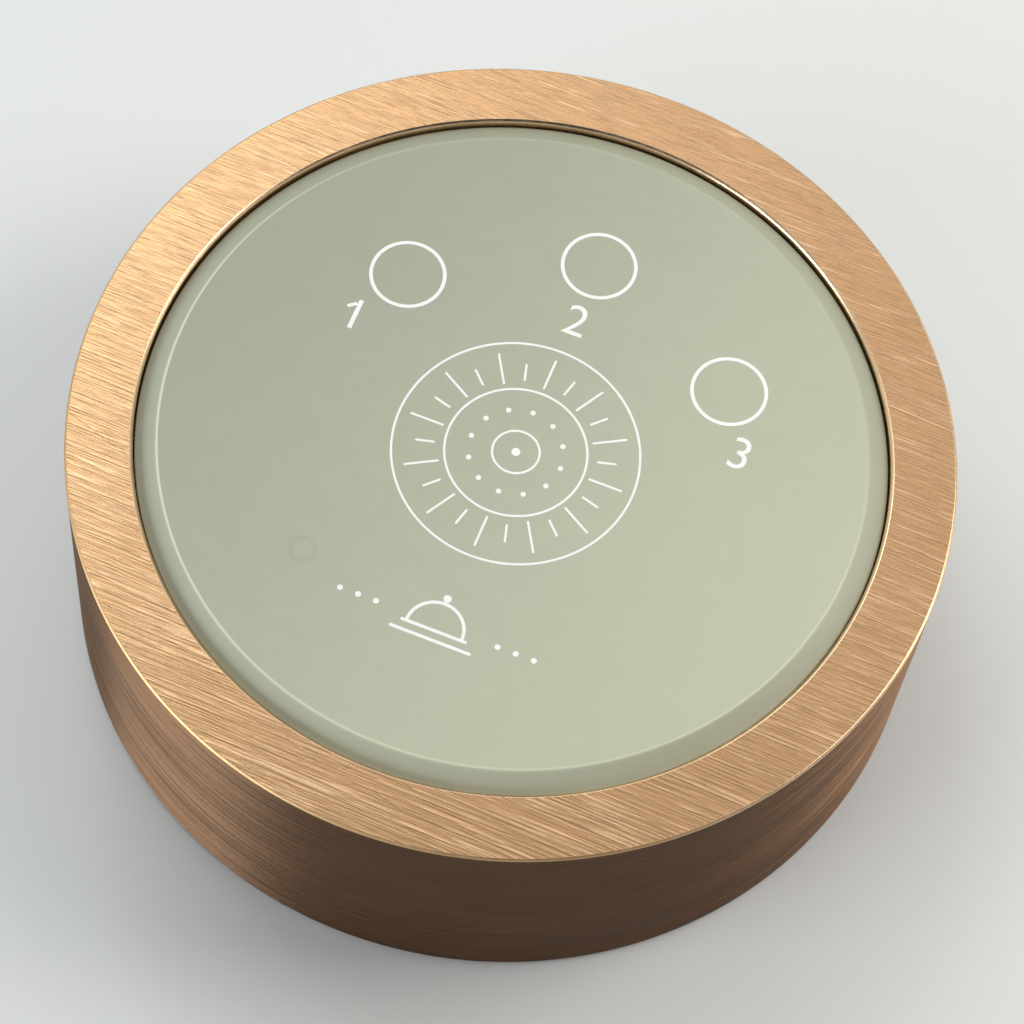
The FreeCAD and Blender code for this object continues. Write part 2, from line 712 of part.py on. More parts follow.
def pairing_button():
    flange_top = CONTROL_FLOAT_Z + BUTTON_FLANGE_T
    body = turned([
        (0, CONTROL_FACE_Z),
        (BUTTON_R - BUTTON_EDGE, CONTROL_FACE_Z),
        (BUTTON_R, CONTROL_FACE_Z + BUTTON_EDGE),
        (BUTTON_R, CONTROL_FLOAT_Z),
        (BUTTON_FLANGE_R, CONTROL_FLOAT_Z),
        (BUTTON_FLANGE_R, flange_top),
        (BUTTON_STEM_R, flange_top),
        (BUTTON_STEM_R, TACT_BOTTOM_Z),
        (0, TACT_BOTTOM_Z),
    ])
    body.translate(point(BUTTON_X, CONTROL_Y, 0))
    return body


def bayonet_notches():
    """Gaps in the plate's ledge that let the cover's lugs through."""
    inner_r = COVER_OPENING_R - ROOT
    middle = LUG_START - COVER_TURN
    notch = sector(inner_r, NOTCH_R, LEDGE_UNDER_Z, PLATE_TOP_Z, middle, NOTCH_ANGLE)
    return around(notch, LUG_COUNT)


def bayonet_stops():
    """Blocks on the ledge that end each lug's turn at both ends."""
    reach = LUG_ANGLE / 2 + STOP_PLAY + STOP_ANGLE / 2
    stops = []
    for middle in (LUG_START + reach, LUG_START - COVER_TURN - reach):
        stop = sector(COVER_OPENING_R, LUG_R, PLATE_TOP_Z - ROOT, SPIGOT_TOP_Z, middle, STOP_ANGLE)
        stops += around(stop, LUG_COUNT)
    return stops


def slider_rails():
    offset = SLIDER_FLAT[1] / 2 + RAIL_PLAY + RAIL_T / 2
    return [
        block(SLOT_X, CONTROL_Y + side * offset, PLATE_TOP_Z - ROOT, RAIL_L, RAIL_T, RAIL_TOP_Z)
        for side in (-1, 1)
    ]


# Base plate: stepped opening with a notched ledge, turn stops, foot groove,
# sunk screw holes, and the openings and rails of the two controls
def base_plate():
    body = turned([
        (COVER_SEAT_R, PLATE_BOTTOM_Z),
        (PLATE_R - PLATE_EDGE, PLATE_BOTTOM_Z),
        (PLATE_R, PLATE_BOTTOM_Z + PLATE_EDGE),
        (PLATE_R, PLATE_TOP_Z),
        (COVER_OPENING_R, PLATE_TOP_Z),
        (COVER_OPENING_R, LEDGE_UNDER_Z),
        (COVER_SEAT_R, LEDGE_UNDER_Z),
    ])
    body = body.cut([tube(FOOT_IN_R, FOOT_OUT_R, PLATE_BOTTOM_Z, FOOT_TOP_Z)] + bayonet_notches())
    body = body.multiFuse(bayonet_stops() + slider_rails())
    recess_l, recess_w, recess_d = SLIDER_RECESS
    recess = slot(SLOT_X, CONTROL_Y, PLATE_BOTTOM_Z, recess_l, recess_w, PLATE_BOTTOM_Z + recess_d)
    nub_l, nub_w = SLIDER_NUB
    window_l = nub_l + SLIDER_TRAVEL + 2 * FIT_GAP
    window_w = nub_w + 2 * FIT_GAP
    window = block(SLOT_X, CONTROL_Y, PLATE_BOTTOM_Z, window_l, window_w, PLATE_TOP_Z)
    body = body.cut([recess, window])
    button = [(BUTTON_X, CONTROL_Y)]
    recess_top = PLATE_BOTTOM_Z + BUTTON_RECESS_DEPTH
    body = drilled(body, button, BUTTON_R + FIT_GAP, PLATE_BOTTOM_Z, PLATE_TOP_Z)
    body = drilled(body, button, BUTTON_RECESS_R, PLATE_BOTTOM_Z, recess_top)
    holes = screw_spots(BASE_SCREW_REACH)
    body = drilled(body, holes, SCREW_R + SCREW_CLEAR, PLATE_BOTTOM_Z, PLATE_TOP_Z)
    body = drilled(body, holes, BASE_SINK_R, PLATE_BOTTOM_Z, BASE_SINK_Z)
    return body.removeSplitter()


def base_screws():
    return [
        screw(x, y, BASE_SINK_Z, BASE_HEAD_R, BASE_HEAD_T, BASE_SCREW_L, 1)
        for x, y in screw_spots(BASE_SCREW_REACH)
    ]


def foot_ring():
    return turned([
        (FOOT_IN_R + FOOT_CHAMFER, 0),
        (FOOT_OUT_R - FOOT_CHAMFER, 0),
        (FOOT_OUT_R, FOOT_CHAMFER),
        (FOOT_OUT_R, FOOT_TOP_Z),
        (FOOT_IN_R, FOOT_TOP_Z),
        (FOOT_IN_R, FOOT_CHAMFER),
    ])


def coin_slot():
    """A thin disc on edge, which leaves a slot with a round floor."""
    centre = point(0, -COIN_SLOT_W / 2, PLATE_BOTTOM_Z + COIN_SLOT_DEPTH - SLOT_FLOOR_R)
    return Part.makeCylinder(SLOT_FLOOR_R, COIN_SLOT_W, centre, point(0, 1, 0))


# Battery cover: flat disc, coin slot, stiffening ribs, a spigot with a seal groove,
# and three lugs that pass the notches and turn above the ledge
def battery_cover():
    body = turned([
        (0, PLATE_BOTTOM_Z),
        (COVER_R - PLATE_EDGE, PLATE_BOTTOM_Z),
        (COVER_R, PLATE_BOTTOM_Z + PLATE_EDGE),
        (COVER_R, COVER_TOP_Z),
        (SPIGOT_R, COVER_TOP_Z),
        (SPIGOT_R, SEAL_BOTTOM_Z),
        (SEAL_IN_R, SEAL_BOTTOM_Z),
        (SEAL_IN_R, SEAL_TOP_Z),
        (SPIGOT_R, SEAL_TOP_Z),
        (SPIGOT_R, SPIGOT_TOP_Z),
        (SPIGOT_IN_R, SPIGOT_TOP_Z),
        (SPIGOT_IN_R, COVER_TOP_Z),
        (0, COVER_TOP_Z),
    ])
    lug = sector(SPIGOT_R - ROOT, LUG_R, LUG_BOTTOM_Z, SPIGOT_TOP_Z, 0, LUG_ANGLE)
    slot_l = 2 * math.sqrt(SLOT_FLOOR_R ** 2 - (SLOT_FLOOR_R - COIN_SLOT_DEPTH) ** 2)
    boss_l = slot_l + 2 * COIN_BOSS_MARGIN
    boss_w = COIN_SLOT_W + 2 * COIN_BOSS_MARGIN
    boss = block(0, 0, COVER_TOP_Z - OVERLAP, boss_l, boss_w, COVER_TOP_Z + COIN_BOSS_H)
    rib_l = SPIGOT_IN_R + ROOT - COVER_RIB_START
    rib_x = COVER_RIB_START + rib_l / 2
    rib = block(rib_x, 0, COVER_TOP_Z - OVERLAP, rib_l, RIB_T, COVER_TOP_Z + COVER_RIB_H)
    lugs = around(lug, LUG_COUNT, LUG_START)
    body = body.multiFuse([boss] + lugs + around(rib, COVER_RIB_COUNT))
    return body.cut(coin_slot()).removeSplitter()


def cover_seal():
    return tube(SEAL_IN_R, SEAL_OUT_R, SEAL_BOTTOM_Z, SEAL_TOP_Z)


def cell_pads():
    return [
        block(0, y, COVER_TOP_Z, *CELL_PAD_SIZE, SPIGOT_TOP_Z)
        for y in (-CELL_PAD_Y, CELL_PAD_Y)
    ]


PIECES = (
    housing_ring, touch_panel, panel_gasket, bonding_sheet, touch_pads, touch_board,
    touch_chip, light_baffle, status_leds, main_board, board_screws, controller_chip,
    crystal, boost_converter, supply_capacitors, radio_board, radio_shield, chip_antenna,
    board_socket, board_header, chassis, positive_contacts, negative_contacts,
    battery_cells, switch_board, switch_header, power_switch, switch_lever, power_slider,
    pairing_switch, tact_plunger, pairing_button, base_plate, base_screws, foot_ring,
    battery_cover, cover_seal, cell_pads,
)

os.makedirs("parts", exist_ok=True)
for make in PIECES:
    made = make()
    shape = Part.makeCompound(made) if isinstance(made, list) else made
    shape.exportStep(f"parts/{make.__name__}.step")
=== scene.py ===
import json
import math

import bmesh
import bpy
from bpy.props import FloatProperty, FloatVectorProperty, IntProperty, PointerProperty
from mathutils import Matrix, Vector


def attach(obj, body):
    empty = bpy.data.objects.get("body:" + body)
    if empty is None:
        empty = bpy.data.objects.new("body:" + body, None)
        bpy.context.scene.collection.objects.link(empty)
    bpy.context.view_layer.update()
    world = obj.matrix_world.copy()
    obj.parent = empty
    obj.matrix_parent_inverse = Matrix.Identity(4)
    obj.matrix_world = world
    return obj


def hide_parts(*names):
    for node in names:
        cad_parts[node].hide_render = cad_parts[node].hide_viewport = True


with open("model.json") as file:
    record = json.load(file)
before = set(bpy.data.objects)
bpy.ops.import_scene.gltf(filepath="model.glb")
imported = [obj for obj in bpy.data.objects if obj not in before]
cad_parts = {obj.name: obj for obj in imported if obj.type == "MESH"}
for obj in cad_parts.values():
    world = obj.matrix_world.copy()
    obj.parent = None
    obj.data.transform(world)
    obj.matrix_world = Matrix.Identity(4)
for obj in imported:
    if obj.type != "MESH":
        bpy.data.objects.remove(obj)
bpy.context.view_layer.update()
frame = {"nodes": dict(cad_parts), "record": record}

bl_info = {
    "name": "Table call button",
    "version": (1, 0, 0),
    "blender": (4, 5, 0),
    "location": "3D View > Sidebar > Call button",
    "description": "Models and finishes a brass table call button with a touch panel",
    "category": "Add Mesh",
}

MM = 0.001
FULL_TURN = 2 * math.pi
# Two lengths closer than this count as one
NEAR = 0.02 * MM
# Points closer than this are merged
MERGED = NEAR / 20
# Steps in the full turn of a turned piece
ROUND_STEPS = 360


# Sizes and colours


def length(name, description, millimetres):
    return FloatProperty(
        name=name, description=description, default=millimetres * MM, unit="LENGTH"
    )


def colour(name, description, value):
    return FloatVectorProperty(
        name=name, description=description, default=value, subtype="COLOR", min=0.0, max=1.0
    )


def place(name, description, x, y):
    """A point on the panel, given in millimetres from its centre."""
    return FloatVectorProperty(
        name=name, description=description, default=(x * MM, y * MM), size=2, unit="LENGTH"
    )


class RingSettings(bpy.types.PropertyGroup):
    radius: length("Radius", "Outer radius of the brass ring", 44.99)
    top: length("Top", "Height of the ring's top face", 29.6)
    bottom: length("Bottom", "Height of the ring's lower edge", 0.6)
    opening: length("Opening", "Radius of the opening round the panel", 38.2)
    bore: length("Bore", "Radius of the bore under the lip", 39.6)
    lip: length("Lip", "Depth of the lip under the top face", 2.7)
    rim: length("Rim", "Radius of the seat for the base plate", 43.9)
    seat: length("Seat", "Height of the top of the base plate", 3.6)
    chamfer: length("Chamfer", "Width of the outer edge break", 0.21)
    chamfer_drop: length("Chamfer drop", "Height of the outer edge break", 0.20)
    inner_chamfer: length("Inner chamfer", "Width of the inner edge break", 0.30)
    softness: length("Softness", "Rounding where an edge break starts and ends", 0.05)
    brush_angle: FloatProperty(
        name="Brushing", description="Angle of the brushing on the top face",
        default=math.radians(-2.0), subtype="ANGLE",
    )
    brass: colour("Brass", "Colour of the brushed top face", (0.64, 0.385, 0.205))
    # Painted shade: the wall's brass is much darker than the top face's, standing in for the dark
    # surroundings it reflects.
    wall: colour("Wall", "Colour of the turned wall", (0.178, 0.103, 0.060))
    edge: colour("Edge", "Colour of the polished edge breaks", (0.84, 0.59, 0.37))


class PanelSettings(bpy.types.PropertyGroup):
    radius: length("Radius", "Radius of the panel's edge", 38.05)
    top: length("Top", "Height of the plateau", 29.985)
    plateau: length("Plateau", "Radius at which the bevel starts", 35.8)
    edge_height: length("Edge height", "Height at which the bevel ends", 28.64)
    edge_round: length("Edge round", "Rounding of the outer edge", 0.12)
    crease: length("Crease", "Width of the rounding between plateau and bevel", 0.16)
    flange: length("Flange", "Radius of the trapped flange", 39.3)
    flange_top: length("Flange top", "Height of the flange's upper face", 26.5)
    flange_bottom: length("Flange bottom", "Height of the flange's lower face", 25.0)
    skirt: length("Skirt", "Inner radius of the skirt", 36.6)
    under: length("Underside", "Height of the panel's underside", 27.6)
    body: colour("Body", "Colour of the moulded panel", (0.445, 0.447, 0.333))


class PrintSettings(bpy.types.PropertyGroup):
    thickness: length("Thickness", "Thickness of the printed ink", 0.015)
    fine_line: length("Fine line", "Width of the dial's lines", 0.24)
    bold_line: length("Bold line", "Width of the option rings", 0.38)
    dial: place("Dial", "Centre of the dial", 0.67, -1.28)
    dial_radius: length("Dial radius", "Radius of the dial's outer circle", 12.53)
    dial_middle: length("Dial middle", "Radius of the circle inside the rays", 7.2)
    dial_inner: length("Dial inner", "Radius of the smallest circle", 2.4)
    ray_count: IntProperty(
        name="Rays", description="Number of long rays, short rays and dots", default=12, min=1
    )
    long_ray: length("Long ray", "Length of the long rays", 3.6)
    long_reach: length("Long reach", "Distance of the long rays' middles", 9.6)
    short_ray: length("Short ray", "Length of the short rays", 2.0)
    short_reach: length("Short reach", "Distance of the short rays' middles", 9.2)
    dot_reach: length("Dot reach", "Distance of the dots from the dial's centre", 4.8)
    dot_radius: length("Dot radius", "Radius of the dots in the dial", 0.28)
    centre_dot: length("Centre dot", "Radius of the dot in the dial's centre", 0.45)
    ring_radius: length("Ring radius", "Radius of the three option rings", 3.8)
    option_1: place("Option 1", "Centre of the first option ring", -17.04, 13.59)
    option_2: place("Option 2", "Centre of the second option ring", 0.76, 22.34)
    option_3: place("Option 3", "Centre of the third option ring", 18.16, 13.71)
    digit_height: length("Digit height", "Size of the option numbers", 5.2)
    number_1: place("Number 1", "Middle of the first number", -20.2, 6.9)
    number_2: place("Number 2", "Middle of the second number", 0.9, 15.1)
    number_3: place("Number 3", "Middle of the third number", 21.6, 7.2)
    bell: place("Bell", "Middle of the bell's foot", 0.4, -22.6)
    bell_radius: length("Bell radius", "Radius of the bell's dome", 2.9)
    bell_line: length("Bell line", "Width of the bell's lines", 0.34)
    ink: colour("Ink", "Colour of the printed ink", (0.95, 0.95, 0.92))


class UndersideSettings(bpy.types.PropertyGroup):
    screw_reach: length("Screw reach", "Distance of the screws from the centre", 41.4)
    head_radius: length("Head radius", "Radius of the screw heads", 1.7)
    head_bottom: length("Head bottom", "Height of the screw heads' faces", 0.9)
    head_top: length("Head top", "Height of the screw heads' seats", 2.0)
    shank_radius: length("Shank radius", "Radius of the screws' shanks", 1.0)
    shank_top: length("Shank top", "Height of the screws' points", 8.0)
    head_round: length("Head round", "Rounding of the screw heads", 0.3)
    recess_length: length("Recess length", "Length of the cross recess from tip to tip", 2.1)
    recess_width: length("Recess width", "Width of the cross recess", 0.42)
    recess_depth: length("Recess depth", "Depth of the cross recess", 0.7)
    screw_count: IntProperty(
        name="Screws", description="Number of screws in the base plate", default=4, min=1
    )


class StageSettings(bpy.types.PropertyGroup):
    lens: FloatProperty(name="Lens", description="Focal length in millimetres", default=119.53)
    distance: length("Distance", "Camera distance from the top face's centre", 342.2)
    elevation: FloatProperty(
        name="Elevation", description="Camera height angle", default=math.radians(61.91),
        subtype="ANGLE",
    )
    heading: FloatProperty(
        name="Heading", description="Turn of the camera round the button",
        default=math.radians(14.7), subtype="ANGLE",
    )
    roll: FloatProperty(
        name="Roll", description="Roll of the camera", default=math.radians(-7.41), subtype="ANGLE"
    )
    tilt: FloatProperty(
        name="Tilt", description="Aim above the centre", default=math.radians(1.19), subtype="ANGLE"
    )
    pan: FloatProperty(
        name="Pan", description="Aim beside the centre", default=math.radians(0.12), subtype="ANGLE"
    )
    floor_size: length("Floor size", "Width of the floor", 6000.0)
    floor: colour("Floor", "Colour of the floor", (0.80, 0.80, 0.785))
    sky: colour("Sky", "Colour of the surroundings", (0.78, 0.79, 0.80))


class CallButtonSettings(bpy.types.PropertyGroup):
    ring: PointerProperty(type=RingSettings)
    panel: PointerProperty(type=PanelSettings)
    marks: PointerProperty(type=PrintSettings)
    underside: PointerProperty(type=UndersideSettings)
    stage: PointerProperty(type=StageSettings)


# Modelling


def deselect():
    if bpy.context.mode != "OBJECT":
        bpy.ops.object.mode_set(mode="OBJECT")
    bpy.ops.object.select_all(action="DESELECT")


def only(obj):
    deselect()
    obj.select_set(True)
    bpy.context.view_layer.objects.active = obj
    return obj


def named(name):
    """The object that an operator has just added."""
    obj = bpy.context.object
    obj.name = name
    obj.data.name = name
    return obj


def settle(obj):
    """Puts an object's place, turn and scale into its mesh."""
    only(obj)
    bpy.ops.object.transform_apply(location=True, rotation=True, scale=True)
    return obj


def smooth(obj, degrees):
    """Smooth shading up to an angle, with normals led by the larger faces."""
    only(obj)
    bpy.ops.object.shade_smooth_by_angle(angle=math.radians(degrees))
    lead = obj.modifiers.new("lead", "WEIGHTED_NORMAL")
    lead.weight = 80
    lead.keep_sharp = True
    bpy.ops.object.modifier_apply(modifier=lead.name)
    return obj


def pick(obj, test, domain="edges"):
    """Selects the edges or faces of the mesh in edit mode whose middle passes the test."""
    mesh = bmesh.from_edit_mesh(obj.data)
    for group in (mesh.faces, mesh.edges, mesh.verts):
        for item in group:
            item.select_set(False)
    for item in getattr(mesh, domain):
        if test(item):
            item.select_set(True)
    mesh.select_flush_mode()
    bmesh.update_edit_mesh(obj.data)


def turned(name, profile):
    """A closed outline of (radius, height) points, drawn point by point and spun round Z."""
    deselect()
    bpy.ops.mesh.primitive_plane_add(size=MM)
    obj = named(name)
    bpy.ops.object.mode_set(mode="EDIT")
    bpy.ops.mesh.select_mode(type="VERT")
    bpy.ops.mesh.merge(type="CENTER")
    here = Vector((profile[0][0], 0, profile[0][1]))
    bpy.ops.transform.translate(value=here)
    for radius, height in profile[1:]:
        there = Vector((radius, 0, height))
        bpy.ops.mesh.extrude_region_move(TRANSFORM_OT_translate={"value": there - here})
        here = there
    bpy.ops.mesh.select_all(action="SELECT")
    if profile[0][0] > 0:
        bpy.ops.mesh.edge_face_add()
        bpy.ops.mesh.delete(type="ONLY_FACE")
        bpy.ops.mesh.select_all(action="SELECT")
    bpy.ops.mesh.spin(steps=ROUND_STEPS, angle=FULL_TURN, center=(0, 0, 0), axis=(0, 0, 1))
    bpy.ops.mesh.select_all(action="SELECT")
    bpy.ops.mesh.remove_doubles(threshold=MERGED)
    bpy.ops.mesh.normals_make_consistent(inside=False)
    return obj


def break_edge(obj, radius, height, width, segments):
    """Bevels the round edge at a radius and height; the piece is in edit mode."""

    def on_edge(edge):
        return all(
            abs(math.hypot(v.co.x, v.co.y) - radius) < NEAR and abs(v.co.z - height) < NEAR
            for v in edge.verts
        )

    bpy.ops.mesh.select_mode(type="EDGE")
    pick(obj, on_edge)
    bpy.ops.mesh.bevel(offset=width, segments=segments, affect="EDGES", clamp_overlap=False)


def flat_ring(name, x, y, z, radius, line, thickness, steps=160, upper_half=False):
    """A printed circle or arch: an edge loop drawn out to the line's width and raised."""
    deselect()
    inner = radius - line / 2
    bpy.ops.mesh.primitive_circle_add(
        vertices=steps, radius=inner, fill_type="NOTHING", location=(x, y, z)
    )
    obj = named(name)
    bpy.ops.object.mode_set(mode="EDIT")
    bpy.ops.mesh.select_all(action="SELECT")
    wider = (radius + line / 2) / inner
    bpy.ops.mesh.extrude_region_move()
    bpy.ops.transform.resize(value=(wider, wider, 1))
    if upper_half:
        bpy.ops.mesh.select_all(action="SELECT")
        bpy.ops.mesh.bisect(plane_co=(x, y, z), plane_no=(0, 1, 0), clear_inner=True)
    raise_print(obj, thickness)
    return settle(obj)


def raise_print(obj, thickness):
    """Gives a flat mesh its thickness, upwards from the panel."""
    bpy.ops.mesh.select_all(action="SELECT")
    bpy.ops.mesh.extrude_region_move(TRANSFORM_OT_translate={"value": (0, 0, thickness)})
    bpy.ops.mesh.select_all(action="SELECT")
    bpy.ops.mesh.normals_make_consistent(inside=False)
    bpy.ops.mesh.faces_shade_flat()
    bpy.ops.object.mode_set(mode="OBJECT")


def stroke(name, x, y, z, size, turn, thickness):
    """A printed line: a round-ended strip of size (length, width) that points at an angle."""
    long, wide = size
    deselect()
    bpy.ops.mesh.primitive_plane_add(size=1, location=(x, y, z))
    obj = named(name)
    bpy.ops.object.mode_set(mode="EDIT")
    bpy.ops.transform.resize(value=(long, wide, 1))
    bpy.ops.mesh.select_mode(type="VERT")
    bpy.ops.mesh.bevel(offset=0.45 * wide, segments=4, affect="VERTICES")
    raise_print(obj, thickness)
    obj.rotation_euler.z = turn
    return settle(obj)


def spot(name, x, y, z, radius, thickness, steps=24):
    """A printed dot, drawn as a disc inside a narrow rim."""
    deselect()
    bpy.ops.mesh.primitive_circle_add(
        vertices=steps, radius=radius, fill_type="NGON", location=(x, y, z)
    )
    obj = named(name)
    bpy.ops.object.mode_set(mode="EDIT")
    bpy.ops.mesh.select_all(action="SELECT")
    bpy.ops.mesh.inset(thickness=radius / 3)
    raise_print(obj, thickness)
    return settle(obj)


def round_copies(obj, count, x, y):
    """The object and its copies, evenly spaced round a point, each with its own mesh."""
    made = [obj]
    for i in range(1, count):
        only(obj)
        bpy.ops.object.duplicate(linked=False)
        copy = bpy.context.object
        about = Matrix.Translation((x, y, 0))
        copy.matrix_world = (
            about @ Matrix.Rotation(FULL_TURN * i / count, 4, "Z") @ about.inverted()
        )
        made.append(settle(copy))
    return made


def joined(name, objects):
    """One object made of several."""
    deselect()
    for obj in objects:
        obj.select_set(True)
    bpy.context.view_layer.objects.active = objects[0]
    bpy.ops.object.join()
    return settle(named(name))


# Materials


class Value:
    """A shader socket that takes part in Python expressions; each one adds its Math node."""

    def __init__(self, finish, socket):
        self.finish = finish
        self.socket = socket

    def math(self, operation, *others):
        values = dict(enumerate((self, *others)))
        made = self.finish.node("Math", {"operation": operation}, values)
        return Value(self.finish, made.outputs[0])

    def __add__(self, other):
        return self.math("ADD", other)

    def __radd__(self, other):
        return self + other

    def __mul__(self, other):
        return self.math("MULTIPLY", other)

    def __rmul__(self, other):
        return self * other

    def __sub__(self, other):
        return self.math("SUBTRACT", other)

    def __rsub__(self, other):
        return self * -1 + other


class Nodes:
    """A node tree under construction, of a material or of the world."""

    def __init__(self, owner):
        owner.use_nodes = True
        self.tree = owner.node_tree
        self.tree.nodes.clear()

    def node(self, kind, settings=None, sockets=None):
        """Adds a node: its settings first, then the values or links of its sockets."""
        made = self.tree.nodes.new("ShaderNode" + kind)
        for key, value in (settings or {}).items():
            setattr(made, key, value)
        for key, value in (sockets or {}).items():
            self.feed(made.inputs[key], value)
        return made

    def feed(self, socket, value):
        if isinstance(value, Value):
            value = value.socket
        if isinstance(value, bpy.types.NodeSocket):
            self.tree.links.new(value, socket)
        else:
            socket.default_value = value

    def limits(self, value, low, high, start=0.0, end=1.0):
        """Maps low..high smoothly to start..end."""
        made = self.node(
            "MapRange", {"interpolation_type": "SMOOTHSTEP"},
            {0: value, 1: low, 2: high, 3: start, 4: end},
        )
        return Value(self, made.outputs[0])


class Finish(Nodes):
    """A material under construction, with its patterns on Object coordinates."""

    def __init__(self, name):
        self.material = bpy.data.materials.new(name)
        super().__init__(self.material)
        self.place = self.node("TexCoord").outputs["Object"]

    def stretched(self, scale, turn=0.0):
        """Object coordinates, turned about Z and scaled along each axis."""
        turned_place = self.node(
            "Mapping", {"vector_type": "TEXTURE"},
            {"Vector": self.place, "Rotation": (0, 0, turn)},
        )
        return self.node(
            "VectorMath", {"operation": "MULTIPLY"}, {0: turned_place.outputs[0], 1: scale}
        ).outputs[0]

    def noise(self, scale, detail=2.0, rough=0.5, turn=0.0):
        """Noise from 0 to 1; scale is its frequency per metre, in all or along each axis."""
        along = scale if isinstance(scale, tuple) else (scale,) * 3
        made = self.node(
            "TexNoise", {},
            {
                "Vector": self.stretched(along, turn), "Scale": 1.0, "Detail": detail,
                "Roughness": rough,
            },
        )
        return Value(self, made.outputs["Fac"])

    def mix(self, factor, first, second):
        """A colour between two others."""
        made = self.node(
            "Mix", {"data_type": "RGBA"},
            {0: factor, 6: self.rgba(first), 7: self.rgba(second)},
        )
        return made.outputs[2]

    def rgba(self, value):
        return (*value, 1.0) if isinstance(value, tuple) else value

    def reach(self, x=0.0, y=0.0):
        """Distance from the upright line through x, y."""
        flat = self.node(
            "VectorMath", {"operation": "MULTIPLY_ADD"},
            {0: self.place, 1: (1, 1, 0), 2: (-x, -y, 0)},
        )
        far = self.node("VectorMath", {"operation": "LENGTH"}, {0: flat.outputs[0]})
        return Value(self, far.outputs["Value"])

    def axis(self, letter):
        """Position along X, Y or Z."""
        return Value(self, self.node("SeparateXYZ", {}, {0: self.place}).outputs[letter])

    def bump(self, height, depth):
        """A bump as deep as depth millimetres where the height is 1."""
        made = self.node("Bump", {}, {"Height": height, "Distance": depth * MM, "Strength": 1.0})
        return made.outputs[0]

    def shade(self, sockets):
        """Adds the shader and returns the finished material."""
        shader = self.node("BsdfPrincipled", {}, sockets)
        self.node("OutputMaterial", {}, {"Surface": shader.outputs[0]})
        return self.material


def tinted(shade, factor):
    """A colour made lighter or darker by one factor, or by one for each channel."""
    factors = factor if isinstance(factor, tuple) else (factor,) * 3
    return tuple(min(1.0, part * by) for part, by in zip(shade, factors))


def brushed_face(settings):
    """Straight brushing: even fine furrows with thin bright lines, and a few scratches."""
    f = Finish("brass_straight_brushed")
    turn = settings.brush_angle
    broad = f.noise((16, 1200, 16), detail=1.0, turn=turn)
    streaks = f.noise((75, 3600, 75), detail=1.0, turn=turn)
    fine = f.noise((220, 8200, 220), detail=1.0, turn=turn + math.radians(1))
    grain = f.noise(5600, detail=1.0)
    crossing = f.noise((110, 2600, 110), detail=0.0, turn=turn - math.radians(14))
    scratch = f.limits(crossing, 0.78, 0.84)
    patches = f.noise(70)
    furrows = broad * 0.15 + streaks * 0.45 + fine * 0.40
    lines = f.limits(furrows + grain * 0.05, 0.52, 0.66)
    shade = tuple(settings.brass)
    calm = tinted(shade, (0.93, 0.91, 0.90))
    bright = tinted(shade, (1.34, 1.44, 1.58))
    dark = tinted(shade, (0.90, 0.85, 0.80))
    return f.shade({
        "Base Color": f.mix(f.limits(patches, 0.35, 0.7, 0.0, 0.20), f.mix(lines, calm, bright), dark),
        "Metallic": 1.0,
        "Roughness": f.limits(fine, 0.3, 0.7, 0.24, 0.34),
        "Normal": f.bump(furrows + lines * 0.15 + grain * 0.06 + scratch * 0.2, 0.062),
    })


def turned_wall(settings):
    """Turning marks that run round the wall, with patches of darker patina, on a brass darkened as
    painted shade.
    """
    f = Finish("brass_turned")
    fine = f.noise((90, 90, 7000), detail=3.0, rough=0.7)
    lines = f.noise((24, 24, 1500), rough=0.6)
    broad = f.noise((35, 35, 320), detail=1.0)
    patches = f.noise((60, 60, 110), detail=3.0, rough=0.6)
    # The wall colour here is painted shade, darker than the top face's brass.
    shade = tuple(settings.wall)
    marks = f.limits(lines * 0.7 + fine * 0.3, 0.40, 0.60)
    base = f.mix(marks, tinted(shade, 0.68), tinted(shade, 1.36))
    patina = tinted(shade, (0.72, 0.64, 0.55))
    return f.shade({
        "Base Color": f.mix(f.limits(patches, 0.4, 0.75, 0.0, 0.25), base, patina),
        "Metallic": 1.0,
        "Roughness": f.limits(lines, 0.35, 0.65, 0.38, 0.58),
        "Anisotropic": 1.0,
        "Anisotropic Rotation": 0.25,
        "Normal": f.bump(fine * 0.4 + lines * 0.5 + broad * 0.6, 0.100),
    })


def polished_edge(settings):
    """Edge breaks with small nicks and a random tone; the outer break is painted duller and darker as
    painted shade, except towards +X, where it keeps the bright colour as a painted highlight.
    """
    f = Finish("brass_edge")
    nicks = f.noise(900, rough=0.6)
    rub = f.noise(160)
    # Painted shade: the outer edge break is coloured duller and darker, and made rougher, fading out
    # towards +X, where the outer break keeps the bright colour as a painted highlight.
    outer = f.limits(f.reach(), 40 * MM, 42 * MM)
    painted_light_mask = f.limits(f.axis("X"), 24 * MM, 38 * MM, 1.0, 0.2)
    painted_edge_shade = outer * painted_light_mask
    shade = tuple(settings.edge)
    dull = tinted(shade, (0.70, 0.64, 0.52))
    bright = f.mix(f.limits(rub, 0.35, 0.7), tinted(shade, 0.94), tinted(shade, 1.10))
    return f.shade({
        "Base Color": f.mix(painted_edge_shade, bright, dull),
        "Metallic": 1.0,
        "Roughness": f.limits(nicks, 0.35, 0.7, 0.20, 0.28) + painted_edge_shade * 0.26,
        "Normal": f.bump(nicks, 0.003),
    })


def machined_inside(settings):
    """Bore, lip and seat, left as machined."""
    f = Finish("brass_inside")
    rings = f.noise((60, 60, 1500))
    # Built on the wall's darkened brass, so the bore, lip and seat carry the same painted shade.
    shade = tinted(tuple(settings.wall), 1.25)
    return f.shade({
        "Base Color": f.mix(rings, tinted(shade, 0.7), tinted(shade, 1.1)),
        "Metallic": 1.0,
        "Roughness": f.limits(rings, 0.3, 0.7, 0.38, 0.5),
        "Normal": f.bump(rings, 0.02),
    })


